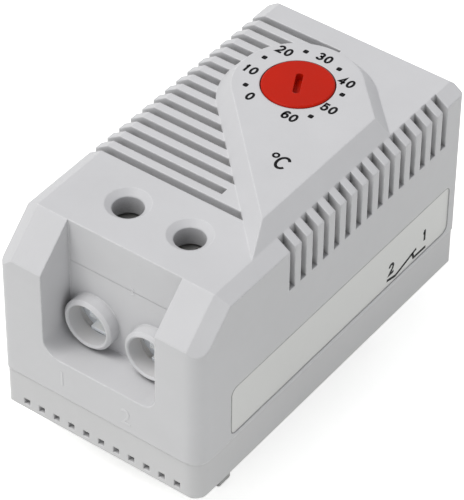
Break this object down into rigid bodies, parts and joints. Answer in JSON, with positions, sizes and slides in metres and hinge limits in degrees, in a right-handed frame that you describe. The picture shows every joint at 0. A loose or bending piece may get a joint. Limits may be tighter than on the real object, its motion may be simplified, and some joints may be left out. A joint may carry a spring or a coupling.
{
  "type": "mechanical thermostat",
  "caption": "Small rail-mounted bimetal thermostat with a red setting dial on a raised plate, vent slots, wire funnels, clamp terminals and a sliding rail latch.",
  "frame": {"origin": "middle of the bounding box at the level of the rail hooks' tips, on which the thermostat lies with its dial up", "axes": "+Z out of the dial face, +Y along the housing from the wire terminals to the dial, +X across the housing along the rail"},
  "size_m": [0.033, 0.06, 0.0418],
  "materials": {
    "housing_plastic": "satin moulded light grey",
    "cover_plastic": "satin moulded light grey",
    "dial_red": "moulded red",
    "spring_steel": "drawn wire",
    "plated_steel": "zinc plated",
    "brass": "plain",
    "spring_bronze": "rolled",
    "silver_contact": "polished",
    "bimetal": "rolled",
    "magnet_ferrite": "ground",
    "ceramic": "fired",
    "fibre": "pressed",
    "latch_plastic": "satin moulded light grey",
    "label_film": "matt film"
  },
  "bodies": {
    "case": {"housing": "housing_plastic", "rear_cover": "cover_plastic", "label_plate": "label_film", "dial_washer": "spring_steel", "bridge_plate": "plated_steel", "bridge_screws": "plated_steel", "threaded_bush": "brass", "magnet": "magnet_ferrite", "stack_screw": "plated_steel", "stack_spacer": "ceramic", "stack_sleeve": "ceramic", "stack_washers": "fibre", "busbar_1": "brass", "busbar_2": "brass", "latch_spring": "spring_steel"},
    "dial": {"dial_knob": "dial_red"},
    "feed_screw": {"setting_screw": "brass"},
    "leaf": {"setting_leaf": "spring_bronze", "leaf_contact": "silver_contact"},
    "bimetal": {"bimetal_strip": "bimetal", "bimetal_contact": "silver_contact", "armature": "plated_steel"},
    "clamp_screw_1": {"terminal_screw_1": "plated_steel"},
    "clamp_cage_1": {"terminal_cage_1": "plated_steel"},
    "clamp_screw_2": {"terminal_screw_2": "plated_steel"},
    "clamp_cage_2": {"terminal_cage_2": "plated_steel"},
    "latch": {"rail_latch": "latch_plastic"}
  },
  "joints": [
    {"name": "dial_turn", "type": "hinge", "parent": "case", "child": "dial", "pos_m": [0, 0.014, 0.0416], "axis": [0, 0, 1], "range_deg": [-181.2, 120.8]},
    {"name": "screw_feed", "type": "slide", "parent": "dial", "child": "feed_screw", "axis": [0, 0, 1], "range_m": [-0.0002516, 0.0001677]},
    {"name": "leaf_flex", "type": "hinge", "parent": "case", "child": "leaf", "pos_m": [0, -0.00246, 0.0265], "axis": [1, 0, 0], "range_deg": [-0.9, 0.65], "deforming": ["setting_leaf"]},
    {"name": "bimetal_flex", "type": "hinge", "parent": "case", "child": "bimetal", "pos_m": [0, -0.00246, 0.0224], "axis": [1, 0, 0], "range_deg": [-2.2, 0], "stiffness_Nm_per_rad": 0.5, "deforming": ["bimetal_strip"]},
    {"name": "clamp_turn_1", "type": "hinge", "parent": "case", "child": "clamp_screw_1", "pos_m": [-0.00507, -0.0168, 0.0348], "axis": [0, 0, 1], "range_deg": [-2521, 0]},
    {"name": "clamp_lift_1", "type": "slide", "parent": "case", "child": "clamp_cage_1", "axis": [0, 0, 1], "range_m": [0, 0.0035]},
    {"name": "clamp_turn_2", "type": "hinge", "parent": "case", "child": "clamp_screw_2", "pos_m": [0.00507, -0.0168, 0.0348], "axis": [0, 0, 1], "range_deg": [-2521, 0]},
    {"name": "clamp_lift_2", "type": "slide", "parent": "case", "child": "clamp_cage_2", "axis": [0, 0, 1], "range_m": [0, 0.0035]},
    {"name": "latch_slide", "type": "slide", "parent": "case", "child": "latch", "axis": [0, -1, 0], "range_m": [0, 0.0025], "stiffness_N_per_m": 300, "springref_m": -0.002, "deforming": ["latch_spring"]}
  ],
  "couplings": [
    {"joint": "dial_turn", "follows": "screw_feed", "rad_per_m": 12566},
    {"joint": "leaf_flex", "follows": "screw_feed", "rad_per_m": 60.753},
    {"joint": "clamp_turn_1", "follows": "clamp_lift_1", "rad_per_m": -12566},
    {"joint": "clamp_turn_2", "follows": "clamp_lift_2", "rad_per_m": -12566}
  ]
}
